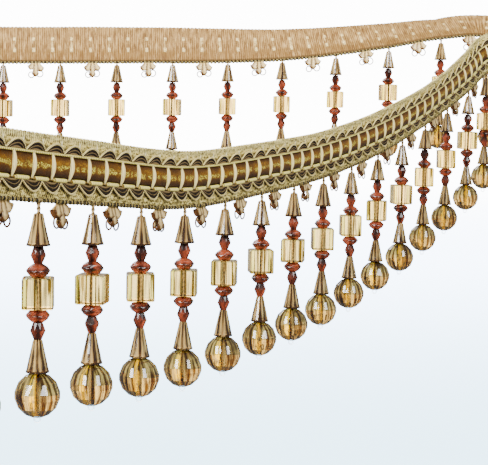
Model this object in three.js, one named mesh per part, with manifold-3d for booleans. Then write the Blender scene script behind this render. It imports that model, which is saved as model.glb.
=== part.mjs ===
// A cut length of beaded fringe trim, hung as an open loop: a woven tape with a raised
// ribbon, cords and scallops on its outer face, small ribbon loops and long bead strands
// along its lower edge. Millimetres, +Z up. The origin is the tape's top edge at the
// middle of the level far side, where the trim is held up. +X runs along that far side,
// and the near side comes forward from its right-hand end towards -Y.

import * as THREE from 'three';
import Module from 'manifold-3d';

const wasm = await Module();
wasm.setup();

// Driving sizes of the woven tape and of what is sewn on its outer face. Heights are
// measured up the tape from its lower edge.
const TAPE_WIDTH = 25;
const TAPE_THICKNESS = 1.6;
const GAP = 0.35;
const RIBBON = { low: 8.5, high: 17.0, thickness: 0.8 };
const BAR = { share: 0.9, half: 1.2, rise: 1.1 };
const PIPING = { lower: 7.7, upper: 17.8, half: 0.42, rise: 1.2 };
const LOWER_SCALLOP = { base: 6.9, foot: 6.0, tip: 3.1 };
const UPPER_SCALLOP = { base: 18.6, foot: 19.2, tip: 21.2 };
const SCALLOP_RISE = 1.2;
const ARCH = { foot: -0.5, from: -0.1, to: 0.22 };

// The trim repeats: three bars and arches to each bead strand. A bar crosses at a share of
// each repeat, and an arch has its foot and its top at shares of a repeat from that bar.
const STRANDS = 27;
const REPEATS_PER_STRAND = 3;
const REPEATS = STRANDS * REPEATS_PER_STRAND;

// Backing strips under the tape's lower edge.
const STRIP = { clearance: 0.3, height: 1.4, half: 0.8 };
const LOOP_STRIP = { centre: -1.55, half: 0.4 };
const STRIP_END_GAP = 0.3;

// The route of the tape's lower edge along the loop. lean is how far the top edge tips
// outwards, in degrees, and neck is the twisted thread that shows above the first bead.
const ROUTE = [
  { x: -97.0, y: -562.5, z: -85.1, lean: 0, neck: 6.4 },
  { x: -41.0, y: -478.2, z: -94.0, lean: 0, neck: 4.6 },
  { x: 4.2, y: -411.2, z: -99.8, lean: 0, neck: 4.4 },
  { x: 50.6, y: -345.2, z: -97.1, lean: 0, neck: 4.4 },
  { x: 96.2, y: -278.6, z: -91.9, lean: 0, neck: 4.4 },
  { x: 143.0, y: -213.4, z: -80.7, lean: 2, neck: 4.4 },
  { x: 189.9, y: -149.7, z: -63.4, lean: 5, neck: 4.4 },
  { x: 213.5, y: -118.6, z: -52.7, lean: 2, neck: 4.4 },
  { x: 237.4, y: -88.2, z: -40.7, lean: -6, neck: 4.4 },
  { x: 259.6, y: -57.5, z: -27.8, lean: -12, neck: 4.4 },
  { x: 275.5, y: -43.0, z: -21.0, lean: -6, neck: 4.4 },
  { x: 291.0, y: -29.0, z: -13.0, lean: 8, neck: 4.4 },
  { x: 293.5, y: -12.0, z: -5.5, lean: 30, neck: 4.4 },
  { x: 279.0, y: 0.0, z: 0.6, lean: 50, neck: 4.4 },
  { x: 244.4, y: 0.0, z: -1.2, lean: 56, neck: 4.2 },
  { x: 203.1, y: 0.0, z: -8.8, lean: 46, neck: 3.8 },
  { x: 162.6, y: 0.0, z: -15.4, lean: 36, neck: 3.2 },
  { x: 120.3, y: 0.0, z: -20.4, lean: 27, neck: 2.6 },
  { x: 80.0, y: 0.0, z: -22.8, lean: 14, neck: 2.4 },
  { x: 20.0, y: 0.0, z: -24.5, lean: 0, neck: 2.4 },
  { x: -100.0, y: 0.0, z: -27.5, lean: 0, neck: 2.4 },
];

// Rings of one bead strand below its thread: how far down, the radius to the corners of
// its four sides, and how far those corners are turned, in degrees.
const BEADS = [
  { drop: 0.0, radius: 1.6, turn: 0 },      // cone
  { drop: 12.4, radius: 4.4, turn: 45 },
  { drop: 12.5, radius: 1.3, turn: 45 },
  { drop: 16.0, radius: 3.0, turn: 45 },    // long bicone
  { drop: 19.1, radius: 1.3, turn: 45 },
  { drop: 21.9, radius: 4.5, turn: 45 },    // flat bicone
  { drop: 24.3, radius: 2.2, turn: 45 },
  { drop: 24.4, radius: 8.5, turn: 45 },    // cube
  { drop: 36.4, radius: 8.5, turn: 45 },
  { drop: 36.5, radius: 2.2, turn: 45 },
  { drop: 39.1, radius: 4.5, turn: 45 },    // flat bicone
  { drop: 41.6, radius: 1.4, turn: 45 },
  { drop: 45.2, radius: 3.0, turn: 45 },    // long bicone
  { drop: 48.3, radius: 1.6, turn: 45 },    // cone
  { drop: 61.0, radius: 4.4, turn: 0 },
  { drop: 61.6, radius: 4.0, turn: 0 },     // round bead
  { drop: 66.2, radius: 8.0, turn: 45 },
  { drop: 73.2, radius: 8.0, turn: 0 },
  { drop: 77.6, radius: 4.0, turn: 45 },
  { drop: 78.0, radius: 1.2, turn: 45 },    // end stop
  { drop: 80.2, radius: 1.0, turn: 45 },
];
const THREAD = { radius: 0.55, root: 0.6 };

// How far each strand has twisted on its thread: about one facing, in degrees, and back
// and forth from strand to strand.
const TWIST = { facing: -9, swing: 8, rate: 2.4 };

// Tufts of three ribbon loops, a little short of midway between two strands.
const TUFT_PHASE = 0.94;
const TUFT_LOOPS = [
  { length: 6.4, fan: -32, root: -1.4 },
  { length: 9.4, fan: 0, root: 0 },
  { length: 6.4, fan: 32, root: 1.4 },
];
const LOOP_RINGS = [
  { along: 0.0, half: 0.5, thick: 0.3 },
  { along: 1.0, half: 1.7, thick: 0.8 },
];

// First and last strand, or tuft, that hangs from each backing strip.
const BEAD_GROUPS = [[0, 3], [4, 7], [8, 11], [12, 14], [15, 16], [17, 21], [22, 26]];
const TUFT_GROUPS = [[0, 3], [4, 7], [8, 11], [12, 14], [15, 17], [18, 21], [22, 25]];

const COLOURS = {
  tape: { color: 0xb59a6c, roughness: 0.8, metalness: 0.1 },
  ribbon: { color: 0x7a5210, roughness: 0.45, metalness: 0.3 },
  piping: { color: 0xd9c79a, roughness: 0.5, metalness: 0.2 },
  scallop: { color: 0x9c8a66, roughness: 0.6, metalness: 0.15 },
  beads: { color: 0xc9ac78, roughness: 0.15, metalness: 0.0 },
  tufts: { color: 0xc9b183, roughness: 0.5, metalness: 0.15 },
};

const UP = new THREE.Vector3(0, 0, 1);
const SAMPLES_PER_SPAN = 40;

// Dense points of a smooth curve through the route's rows. Each span is a cubic whose end
// slopes are the chord slopes on both sides, weighted by the opposite chord's length.
function sampleRoute() {
  const knots = ROUTE.map((row) => new THREE.Vector3(row.x, row.y, row.z));
  const chords = knots.slice(1).map((knot, i) => knot.distanceTo(knots[i]));
  const slopes = chords.map((chord, i) => knots[i + 1].clone().sub(knots[i]).divideScalar(chord));
  const tangents = knots.map((knot, i) => {
    if (i === 0) return slopes[0].clone();
    if (i === chords.length) return slopes[i - 1].clone();
    const before = slopes[i - 1].clone().multiplyScalar(chords[i]);
    const after = slopes[i].clone().multiplyScalar(chords[i - 1]);
    return before.add(after).divideScalar(chords[i - 1] + chords[i]);
  });
  const samples = [];
  chords.forEach((chord, i) => {
    const last = i === chords.length - 1 ? SAMPLES_PER_SPAN : SAMPLES_PER_SPAN - 1;
    for (let step = 0; step <= last; step += 1) {
      const t = step / SAMPLES_PER_SPAN;
      const point = knots[i].clone().multiplyScalar(2 * t ** 3 - 3 * t ** 2 + 1);
      point.addScaledVector(tangents[i], (t ** 3 - 2 * t ** 2 + t) * chord);
      point.addScaledVector(knots[i + 1], 3 * t ** 2 - 2 * t ** 3);
      point.addScaledVector(tangents[i + 1], (t ** 3 - t ** 2) * chord);
      const lean = THREE.MathUtils.lerp(ROUTE[i].lean, ROUTE[i + 1].lean, t);
      const neck = THREE.MathUtils.lerp(ROUTE[i].neck, ROUTE[i + 1].neck, t);
      const previous = samples[samples.length - 1];
      const along = previous ? previous.along + point.distanceTo(previous.point) : 0;
      samples.push({ along, point, lean, neck });
    }
  });
  return samples;
}

const samples = sampleRoute();
const LENGTH = samples[samples.length - 1].along;
const REPEAT = LENGTH / REPEATS;
const PITCH = LENGTH / STRANDS;
const SLOPE_STEP = 0.5;

// The curve's point, lean and neck at a distance along it.
function onCurve(along) {
  const passed = samples.filter((sample) => sample.along <= along).length;
  const i = THREE.MathUtils.clamp(passed, 1, samples.length - 1);
  const [from, to] = [samples[i - 1], samples[i]];
  const t = (along - from.along) / (to.along - from.along);
  return {
    point: from.point.clone().lerp(to.point, t),
    lean: THREE.MathUtils.lerp(from.lean, to.lean, t),
    neck: THREE.MathUtils.lerp(from.neck, to.neck, t),
  };
}

// A station of the tape: its lower edge's point, the direction up its width, the outward
// normal of its decorated face, and the level outward direction.
function makeStation(along) {
  const { point, lean, neck } = onCurve(along);
  const behind = onCurve(Math.max(along - SLOPE_STEP, 0)).point;
  const ahead = onCurve(Math.min(along + SLOPE_STEP, LENGTH)).point;
  const tangent = ahead.sub(behind).normalize();
  const rise = UP.clone().addScaledVector(tangent, -tangent.z).normalize();
  const outward = new THREE.Vector3().crossVectors(tangent, rise).normalize();
  const angle = THREE.MathUtils.degToRad(lean);
  const across = rise.clone().multiplyScalar(Math.cos(angle)).addScaledVector(outward, Math.sin(angle));
  const normal = outward.clone().multiplyScalar(Math.cos(angle)).addScaledVector(rise, -Math.sin(angle));
  const tilt = Math.abs(Math.sin(angle));
  return { along, point, tangent, across, normal, outward, tilt, neck };
}

// The tape is faceted at every repeat, and twice as often round the tight end of the loop.
const TIGHT_END = { from: 14.5 * REPEATS_PER_STRAND, to: 19 * REPEATS_PER_STRAND };
const stations = [];
for (let half = 0; half <= 2 * REPEATS; half += 1) {
  const repeat = half / 2;
  const tight = repeat > TIGHT_END.from && repeat < TIGHT_END.to;
  if (tight || half % 2 === 0) stations.push(makeStation(repeat * REPEAT));
}

// The two stations on either side of a distance along the tape, and the share between them.
function facetAt(along) {
  const passed = stations.filter((station) => station.along <= along).length;
  const i = THREE.MathUtils.clamp(passed, 1, stations.length - 1);
  const [from, to] = [stations[i - 1], stations[i]];
  return { from, to, t: (along - from.along) / (to.along - from.along) };
}

// A point on the tape's facets, up its width from the lower edge and out from its middle.
function onTape(along, height, out) {
  const { from, to, t } = facetAt(along);
  const place = (s) => s.point.clone().addScaledVector(s.across, height).addScaledVector(s.normal, out);
  return place(from).lerp(place(to), t);
}

// A point that hangs straight down from the lower edge, level outwards and along the tape.
function underTape(along, drop, out) {
  const { from, to, t } = facetAt(along);
  const place = (s) => s.point.clone().addScaledVector(s.outward, out).addScaledVector(UP, -drop);
  return place(from).lerp(place(to), t);
}

function valueAt(along, key) {
  const { from, to, t } = facetAt(along);
  return THREE.MathUtils.lerp(from[key], to[key], t);
}

// Triangles that close a ring of points, zigzagging between its two ends.
function capTriangles(count) {
  const triangles = [];
  let low = 0;
  let high = count - 1;
  while (high - low > 1) {
    triangles.push([low, low + 1, high]);
    low += 1;
    if (high - low > 1) {
      triangles.push([low, high - 1, high]);
      high -= 1;
    }
  }
  return triangles;
}

// A closed skin over a row of rings with the same number of points, faces outwards.
function loft(rings) {
  const count = rings[0].length;
  const points = rings.flat();
  const triangles = [];
  for (let ring = 0; ring < rings.length - 1; ring += 1) {
    for (let side = 0; side < count; side += 1) {
      const next = (side + 1) % count;
      const [a, b] = [ring * count + side, ring * count + next];
      triangles.push([a, b, b + count], [a, b + count, a + count]);
    }
  }
  const lastRing = (rings.length - 1) * count;
  capTriangles(count).forEach(([a, b, c]) => {
    triangles.push([c, b, a]);
    triangles.push([lastRing + a, lastRing + b, lastRing + c]);
  });
  const volume = triangles.reduce((sum, [a, b, c]) => {
    return sum + points[a].dot(new THREE.Vector3().crossVectors(points[b], points[c]));
  }, 0);
  const outwards = volume > 0 ? triangles : triangles.map(([a, b, c]) => [a, c, b]);
  const geometry = new THREE.BufferGeometry();
  geometry.setAttribute('position', new THREE.Float32BufferAttribute(points.flatMap((p) => p.toArray()), 3));
  geometry.setIndex(outwards.flat());
  return geometry;
}

// Closed skins fused into one.
function fuse(geometries) {
  const solids = geometries.map((geometry) => new wasm.Manifold(new wasm.Mesh({
    numProp: 3,
    vertProperties: new Float32Array(geometry.attributes.position.array),
    triVerts: new Uint32Array(geometry.index.array),
  })));
  const mesh = solids.reduce((sum, solid) => sum.add(solid)).getMesh();
  const geometry = new THREE.BufferGeometry();
  geometry.setAttribute('position', new THREE.BufferAttribute(new Float32Array(mesh.vertProperties), 3));
  geometry.setIndex(new THREE.BufferAttribute(new Uint32Array(mesh.triVerts), 1));
  return geometry;
}

// The bare woven band, with edges of its weave where the ribbon is sewn on.
function wovenTape() {
  const half = TAPE_THICKNESS / 2;
  const heights = [0, RIBBON.low, RIBBON.high, TAPE_WIDTH];
  const rings = stations.map(({ along }) => [
    ...heights.map((height) => onTape(along, height, -half)),
    ...heights.toReversed().map((height) => onTape(along, height, half)),
  ]);
  return loft(rings);
}

const FACE = TAPE_THICKNESS / 2 + GAP;
const END_MARGIN = 0.5;

// How far a place is past the last start, which is given from a bar, in repeats.
function sharePast(along, start) {
  const share = along / REPEAT - BAR.share - start;
  return share - Math.floor(share);
}

// Stations of a piece that has its own steps in every repeat, given as shares of a repeat
// from its bar, with the tape's among them round the tight end.
function stepsWith(fractions) {
  const own = [];
  for (let repeat = 0; repeat <= REPEATS; repeat += 1) {
    fractions.forEach((fraction) => {
      const along = (repeat + BAR.share + fraction - 1) * REPEAT;
      if (along > END_MARGIN && along < LENGTH - END_MARGIN) own.push(along);
    });
  }
  const inTightEnd = (along) => along >= TIGHT_END.from * REPEAT && along <= TIGHT_END.to * REPEAT;
  const shared = stations.map((s) => s.along).filter((along) => {
    return inTightEnd(along) && own.every((step) => Math.abs(step - along) > 1e-3);
  });
  return [...new Set([0, ...own, ...shared, LENGTH])].sort((a, b) => a - b);
}

// The ribbon, with a bar raised across it in each repeat.
function centreRibbon() {
  const edge = BAR.half / REPEAT;
  const rings = stepsWith([-edge, 0, edge]).map((along) => {
    const onBar = Math.abs(sharePast(along, -0.5) - 0.5) < edge / 2;
    const top = FACE + RIBBON.thickness + (onBar ? BAR.rise : 0);
    return [
      onTape(along, RIBBON.low, FACE),
      onTape(along, RIBBON.low, top),
      onTape(along, RIBBON.high, top),
      onTape(along, RIBBON.high, FACE),
    ];
  });
  return loft(rings);
}

// A fine cord beside the ribbon, seen as a small ridge.
function piping(height) {
  return loft(stations.map(({ along }) => [
    onTape(along, height - PIPING.half, FACE),
    onTape(along, height + PIPING.half, FACE),
    onTape(along, height, FACE + PIPING.rise),
  ]));
}

// A row of arched gimp beside the ribbon, each arch a little past its bar.
function scallops({ base, foot, tip }) {
  const rings = stepsWith([ARCH.foot, ARCH.from, ARCH.to]).map((along) => {
    const share = sharePast(along, ARCH.foot);
    const arched = share > (ARCH.from - ARCH.foot) / 2 && share < (1 + ARCH.to - ARCH.foot) / 2;
    const outer = arched ? tip : foot;
    return [
      onTape(along, base, FACE),
      onTape(along, outer, FACE),
      onTape(along, (base + outer) / 2, FACE + SCALLOP_RISE),
    ];
  });
  return loft(rings);
}

// A narrow backing strip that hangs just under the tape's lower edge.
function backing(from, to, centre, half) {
  const inner = stations.map((s) => s.along).filter((along) => along > from + 1 && along < to - 1);
  const rings = [from, ...inner, to].map((along) => {
    const top = STRIP.clearance + (TAPE_THICKNESS / 2) * valueAt(along, 'tilt');
    const bottom = top + STRIP.height;
    return [
      underTape(along, top, centre - half),
      underTape(along, top, centre + half),
      underTape(along, bottom, centre + half),
      underTape(along, bottom, centre - half),
    ];
  });
  return loft(rings);
}

// One strand: a thread out of its backing strip, then the beads' outline down to the stop.
function beadStrand(index) {
  const along = (index + 0.5) * PITCH;
  const neck = valueAt(along, 'neck');
  const root = STRIP.clearance + (TAPE_THICKNESS / 2) * valueAt(along, 'tilt') + THREAD.root;
  const axis = underTape(along, 0, 0);
  const twist = TWIST.facing + TWIST.swing * Math.sin(TWIST.rate * index);
  const rows = [
    { drop: root - neck, radius: THREAD.radius, turn: 0 },
    { drop: -0.1, radius: THREAD.radius, turn: 0 },
    ...BEADS,
  ];
  const rings = rows.map(({ drop, radius, turn }) => [0, 1, 2, 3].map((corner) => {
    const angle = THREE.MathUtils.degToRad(twist + turn + 90 * corner);
    const arm = new THREE.Vector3(Math.cos(angle), Math.sin(angle), 0).multiplyScalar(radius);
    return axis.clone().add(arm).addScaledVector(UP, -neck - drop);
  }));
  return loft(rings);
}

function beadFringe([first, last]) {
  const strip = backing(first * PITCH + STRIP_END_GAP, (last + 1) * PITCH - STRIP_END_GAP, 0, STRIP.half);
  const strands = [];
  for (let index = first; index <= last; index += 1) strands.push(beadStrand(index));
  return fuse([strip, ...strands]);
}

// One ribbon loop of a tuft, a flat drop that fans along the tape.
function tuftLoop(along, { length, fan, root }) {
  const { from } = facetAt(along);
  const level = new THREE.Vector3(from.tangent.x, from.tangent.y, 0).normalize();
  const angle = THREE.MathUtils.degToRad(fan);
  const down = level.clone().multiplyScalar(Math.sin(angle)).addScaledVector(UP, -Math.cos(angle));
  const side = level.clone().multiplyScalar(Math.cos(angle)).addScaledVector(UP, Math.sin(angle));
  const top = STRIP.clearance + (TAPE_THICKNESS / 2) * valueAt(along, 'tilt') + STRIP.height / 2;
  const start = underTape(along + root, top, LOOP_STRIP.centre);
  const rings = LOOP_RINGS.map((ring) => {
    const centre = start.clone().addScaledVector(down, ring.along * length);
    return [
      centre.clone().addScaledVector(side, ring.half),
      centre.clone().addScaledVector(from.outward, ring.thick),
      centre.clone().addScaledVector(side, -ring.half),
      centre.clone().addScaledVector(from.outward, -ring.thick),
    ];
  });
  return loft(rings);
}

function loopFringe([first, last]) {
  const start = (first + 0.5) * PITCH + STRIP_END_GAP;
  const end = (last + 1.5) * PITCH - STRIP_END_GAP;
  const strip = backing(start, end, LOOP_STRIP.centre, LOOP_STRIP.half);
  const loops = [];
  for (let index = first; index <= last; index += 1) {
    TUFT_LOOPS.forEach((row) => loops.push(tuftLoop((index + TUFT_PHASE) * PITCH, row)));
  }
  return fuse([strip, ...loops]);
}

const trim = new THREE.Group();

function addPiece(name, geometry, colour) {
  const material = new THREE.MeshStandardMaterial({ ...COLOURS[colour], flatShading: true });
  const mesh = new THREE.Mesh(geometry, material);
  mesh.name = name;
  trim.add(mesh);
}

addPiece('woven_tape', wovenTape(), 'tape');
addPiece('centre_ribbon', centreRibbon(), 'ribbon');
addPiece('lower_piping', piping(PIPING.lower), 'piping');
addPiece('upper_piping', piping(PIPING.upper), 'piping');
addPiece('lower_scallops', scallops(LOWER_SCALLOP), 'scallop');
addPiece('upper_scallops', scallops(UPPER_SCALLOP), 'scallop');
BEAD_GROUPS.forEach((group, i) => addPiece(`bead_fringe_${i + 1}`, beadFringe(group), 'beads'));
TUFT_GROUPS.forEach((group, i) => addPiece(`loop_fringe_${i + 1}`, loopFringe(group), 'tufts'));

export default trim;
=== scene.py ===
# %% [markdown]
# # A hanging loop of beaded fringe trim
# This is a furnishing trim: a woven tape 25 mm wide with a shiny ribbon, cords and arched
# gimp sewn on its face, and strings of clear acrylic beads along its lower edge. The packed
# model gives its real size and place. Here every piece is a surface worked out with numpy,
# and every finish is made of shader nodes.

# %% Load the frame
import math

import bpy
import numpy as np
from mathutils import Matrix


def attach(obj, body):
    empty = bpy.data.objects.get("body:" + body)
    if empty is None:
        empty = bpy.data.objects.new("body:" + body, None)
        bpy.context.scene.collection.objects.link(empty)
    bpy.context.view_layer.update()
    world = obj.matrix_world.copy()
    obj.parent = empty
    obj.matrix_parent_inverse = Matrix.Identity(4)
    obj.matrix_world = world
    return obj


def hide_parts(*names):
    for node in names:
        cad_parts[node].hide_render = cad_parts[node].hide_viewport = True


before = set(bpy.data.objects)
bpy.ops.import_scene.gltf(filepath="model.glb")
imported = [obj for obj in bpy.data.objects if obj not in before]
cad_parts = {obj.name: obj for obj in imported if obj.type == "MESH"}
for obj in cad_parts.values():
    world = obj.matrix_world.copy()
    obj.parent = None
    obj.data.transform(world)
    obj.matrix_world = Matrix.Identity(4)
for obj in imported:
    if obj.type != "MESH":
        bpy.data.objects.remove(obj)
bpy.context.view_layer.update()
print("nodes:", sorted(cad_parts))

# %% [markdown]
# ## The camera
# The picture was taken from a little over half a metre in front of the nearest strand, with
# the camera pitched down a few degrees, turned towards the loop's closed end and rolled by
# about one degree. Its three directions follow from those angles and go into its matrix.

# %% Camera
CAMERA_PLACE = np.array([-0.07406, -1.07617, -0.0528])
CAMERA_TURN, CAMERA_PITCH, CAMERA_ROLL = np.radians([9.0, 5.0, 1.1])
FOCAL_PIXELS, PICTURE_WIDTH, SENSOR_WIDTH = 1480, 488, 36

level = np.array([math.sin(CAMERA_TURN), math.cos(CAMERA_TURN), 0])
level_right = np.array([math.cos(CAMERA_TURN), -math.sin(CAMERA_TURN), 0])
upright = np.array([0, 0, 1])
forward = level * math.cos(CAMERA_PITCH) - upright * math.sin(CAMERA_PITCH)
level_up = level * math.sin(CAMERA_PITCH) + upright * math.cos(CAMERA_PITCH)
right = level_right * math.cos(CAMERA_ROLL) + level_up * math.sin(CAMERA_ROLL)
up = level_up * math.cos(CAMERA_ROLL) - level_right * math.sin(CAMERA_ROLL)


def add_object(name, data):
    """A new object of that data, linked to the scene."""
    made = bpy.data.objects.new(name, data)
    bpy.context.scene.collection.objects.link(made)
    return made


def aim(item, side, top, back, place):
    """Writes an object's three directions and its place into its matrix."""
    placing = np.eye(4)
    placing[:3] = np.stack([side, top, back, place], 1)
    item.matrix_world = Matrix(placing)


camera_data = bpy.data.cameras.new("camera")
camera_data.sensor_width = SENSOR_WIDTH
camera_data.lens = SENSOR_WIDTH * FOCAL_PIXELS / PICTURE_WIDTH
camera_data.clip_start = 0.05
camera_data.clip_end = 30
camera = add_object("camera", camera_data)
aim(camera, right, up, -forward, CAMERA_PLACE)
bpy.context.scene.camera = camera
print("lens:", round(camera_data.lens, 1), "mm")

# %% [markdown]
# ## The tape's route
# A tape hangs as one smooth curve, so everything else is placed by two numbers: how far along
# the tape, and how far up its width. The route's points are those of the solids. A cubic
# between each two points keeps the curve smooth without overshooting.

# %% Route of the lower edge
MM = 0.001
TAPE_WIDTH = 25.0
STRANDS = 27
REPEATS = 81
STEPS_PER_SPAN = 40
SLOPE_STEP = 0.5
BAR_SHARE = 0.9

ROUTE = np.array([
    # x, y, z of the lower edge, lean outwards in degrees, thread above the first bead
    [-97.0, -562.5, -85.1, 0, 6.4],
    [-41.0, -478.2, -94.0, 0, 4.6],
    [4.2, -411.2, -99.8, 0, 4.4],
    [50.6, -345.2, -97.1, 0, 4.4],
    [96.2, -278.6, -91.9, 0, 4.4],
    [143.0, -213.4, -80.7, 2, 4.4],
    [189.9, -149.7, -63.4, 5, 4.4],
    [213.5, -118.6, -52.7, 2, 4.4],
    [237.4, -88.2, -40.7, -6, 4.4],
    [259.6, -57.5, -27.8, -12, 4.4],
    [275.5, -43.0, -21.0, -6, 4.4],
    [291.0, -29.0, -13.0, 8, 4.4],
    [293.5, -12.0, -5.5, 30, 4.4],
    [279.0, 0.0, 0.6, 50, 4.4],
    [244.4, 0.0, -1.2, 56, 4.2],
    [203.1, 0.0, -8.8, 46, 3.8],
    [162.6, 0.0, -15.4, 36, 3.2],
    [120.3, 0.0, -20.4, 27, 2.6],
    [80.0, 0.0, -22.8, 14, 2.4],
    [20.0, 0.0, -24.5, 0, 2.4],
    [-100.0, 0.0, -27.5, 0, 2.4],
])


def run_length(points):
    """Distance along a row of points, from 0 at the first."""
    steps = np.linalg.norm(np.diff(points, axis=0), axis=1)
    return np.concatenate([[0], np.cumsum(steps)])


def sample_route(rows):
    """Close points of the route with their distance along it. Each span is a cubic: its end
    slopes are the chord slopes on both sides, each weighted by the other chord's length."""
    knots = rows[:, :3]
    chord = np.linalg.norm(np.diff(knots, axis=0), axis=1)[:, None]
    slope = np.diff(knots, axis=0) / chord
    inner = (slope[:-1] * chord[1:] + slope[1:] * chord[:-1]) / (chord[1:] + chord[:-1])
    tangent = np.vstack([slope[:1], inner, slope[-1:]])
    t = (np.arange(STEPS_PER_SPAN) / STEPS_PER_SPAN)[None, :, None]
    span = (
        (2 * t**3 - 3 * t**2 + 1) * knots[:-1, None]
        + (t**3 - 2 * t**2 + t) * (chord * tangent[:-1])[:, None]
        + (3 * t**2 - 2 * t**3) * knots[1:, None]
        + (t**3 - t**2) * (chord * tangent[1:])[:, None]
    )
    facts = rows[:-1, None, 3:] * (1 - t) + rows[1:, None, 3:] * t
    points = np.vstack([span.reshape(-1, 3), knots[-1:]])
    facts = np.vstack([facts.reshape(-1, 2), rows[-1:, 3:]])
    return run_length(points), points, facts


route_along, route_points, route_facts = sample_route(ROUTE)
LENGTH = route_along[-1]
REPEAT = LENGTH / REPEATS
PITCH = LENGTH / STRANDS
print(f"tape {LENGTH:.1f} mm long, repeat {REPEAT:.2f} mm, strands {PITCH:.1f} mm apart")

# %% [markdown]
# ## Directions on the tape
# At each place the tape has four directions: along it, up its width, straight out of its
# decorated face, and level outwards. All pieces share them, so layers that touch on the real
# trim touch here too.

# %% Places on the tape
def on_curve(along):
    """The lower edge's point, found between the two nearest close points of the route."""
    return np.stack([np.interp(along, route_along, route_points[:, i]) for i in range(3)], -1)


def unit(vectors):
    """Each vector divided by its own length."""
    return vectors / np.linalg.norm(vectors, axis=-1, keepdims=True)


def directions(along):
    """Tangent, direction up the width, outward normal and level outward direction. The width
    and the normal are upright ones turned about the tangent by the lean."""
    ahead = on_curve(np.minimum(along + SLOPE_STEP, LENGTH))
    behind = on_curve(np.maximum(along - SLOPE_STEP, 0))
    tangent = unit(ahead - behind)
    rise = unit(upright - tangent * tangent[..., 2:3])
    outward = unit(np.cross(tangent, rise))
    lean = np.radians(np.interp(along, route_along, route_facts[:, 0]))[..., None]
    across = np.cos(lean) * rise + np.sin(lean) * outward
    normal = np.cos(lean) * outward - np.sin(lean) * rise
    return tangent, across, normal, outward


def on_tape(along, height, out):
    """Edge point + height times the width direction + out times the normal, in millimetres."""
    along, height, out = np.broadcast_arrays(along, height, out)
    _, across, normal, _ = directions(along)
    return on_curve(along) + height[..., None] * across + out[..., None] * normal


def under_tape(along, drop, out):
    """Edge point + out times the level outward direction, then straight down by drop."""
    along, drop, out = np.broadcast_arrays(along, drop, out)
    outward = directions(along)[3]
    return on_curve(along) + out[..., None] * outward - drop[..., None] * upright


def tape_steps(steps):
    """Even places from end to end of the tape, that many to a repeat."""
    return np.linspace(0, LENGTH, REPEATS * steps + 1)


def from_bar(along):
    """How far a place is from the nearest bar, in repeats: from -0.5 to 0.5."""
    return np.mod(along / REPEAT - BAR_SHARE + 0.5, 1.0) - 0.5


# %% [markdown]
# ## Closed skins from rings
# A tape, a cord and a bead are all rings of points in a row. One function turns an array of
# them, copy by ring by side, into closed skins: both ends get a cap, or the last ring joins
# the first, as in a bead whose hole runs through it. Each corner gets a UV place in real
# millimetres, which the weaves and twists are drawn with.

# %% Rings into a mesh
def full_turn(steps):
    """That many even angles round a full turn, the first one at 0."""
    return np.linspace(0, 2 * math.pi, steps, endpoint=False)


def spokes(angles):
    """A level direction for each angle: (cosine, sine, 0)."""
    return np.stack([np.cos(angles), np.sin(angles), 0 * angles], -1)


def skin(points, along=0.0, around=None, tint=0.0, ring_shut=False):
    """Quads between each ring and the next and between each side and the next, the last side
    joining the first. UV is (along of the ring, around of the side). tint is kept per point."""
    copies, rings, sides = points.shape[:3]
    around = np.linspace(0, 1, sides + 1) if around is None else np.asarray(around, float)
    along = np.broadcast_to(along, (copies, rings)).astype(float)
    spans = rings if ring_shut else rings - 1
    copy, ring, side = np.indices((copies, spans, sides))
    next_ring, next_side = (ring + 1) % rings, (side + 1) % sides
    here, after = (copy * rings + ring) * sides, (copy * rings + next_ring) * sides
    quads = np.stack([here + side, here + next_side, after + next_side, after + side], -1)
    u = np.stack([along[copy, ring]] * 2 + [along[copy, next_ring]] * 2, -1)
    v = np.stack([around[side], around[side + 1], around[side + 1], around[side]], -1)
    corner = (np.arange(copies) * rings * sides)[:, None] + np.arange(sides)
    top = corner[:, ::-1]
    end = corner + (rings - 1) * sides
    return {
        "points": points.reshape(-1, 3),
        "quads": quads.reshape(-1, 4),
        "uv": np.stack([u, v], -1).reshape(-1, 2),
        "caps": np.zeros((0, sides), int) if ring_shut else np.vstack([top, end]),
        "tint": np.broadcast_to(tint, points.shape[:3]).reshape(-1),
    }


def volume(points, quads):
    """Six times the volume inside the faces, summed as triple products of their corners."""
    a, b, c, d = (points[quads[:, i]] for i in range(4))
    return np.einsum("ij,ij->", a, np.cross(b, c)) + np.einsum("ij,ij->", a, np.cross(c, d))


def make_piece(name, skins, material, replaced=(), smooth=True):
    """One object of all the skins, in metres, with faces turned outwards, riding on the body."""
    vertices, faces, uvs, smoothed, tints = [], [], [], [], []
    offset = 0
    for part in skins:
        quads, caps, uv = part["quads"], part["caps"], part["uv"].reshape(-1, 4, 2)
        if volume(part["points"] - part["points"].mean(0), quads) < 0:
            quads, caps, uv = quads[:, ::-1], caps[:, ::-1], uv[:, ::-1]
        vertices.append(part["points"])
        faces += (quads + offset).tolist() + (caps + offset).tolist()
        uvs += [uv.reshape(-1, 2), np.zeros((caps.size, 2))]
        smoothed += [smooth] * len(quads) + [False] * len(caps)
        tints.append(part["tint"])
        offset += len(part["points"])
    mesh = bpy.data.meshes.new(name)
    mesh.from_pydata((np.vstack(vertices) * MM).tolist(), [], faces)
    mesh.uv_layers.new(name="cloth").data.foreach_set("uv", np.vstack(uvs).ravel())
    tint = mesh.attributes.new("tint", "FLOAT", "POINT")
    tint.data.foreach_set("value", np.concatenate(tints).astype(np.float32))
    mesh.polygons.foreach_set("use_smooth", smoothed)
    mesh.materials.append(material)
    mesh.update()
    piece = add_object(name, mesh)
    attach(piece, "root")
    if replaced:
        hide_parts(*replaced)
    triangles = sum(len(face) - 2 for face in faces)
    print(f"{name}: {triangles} triangles")
    return piece


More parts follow.
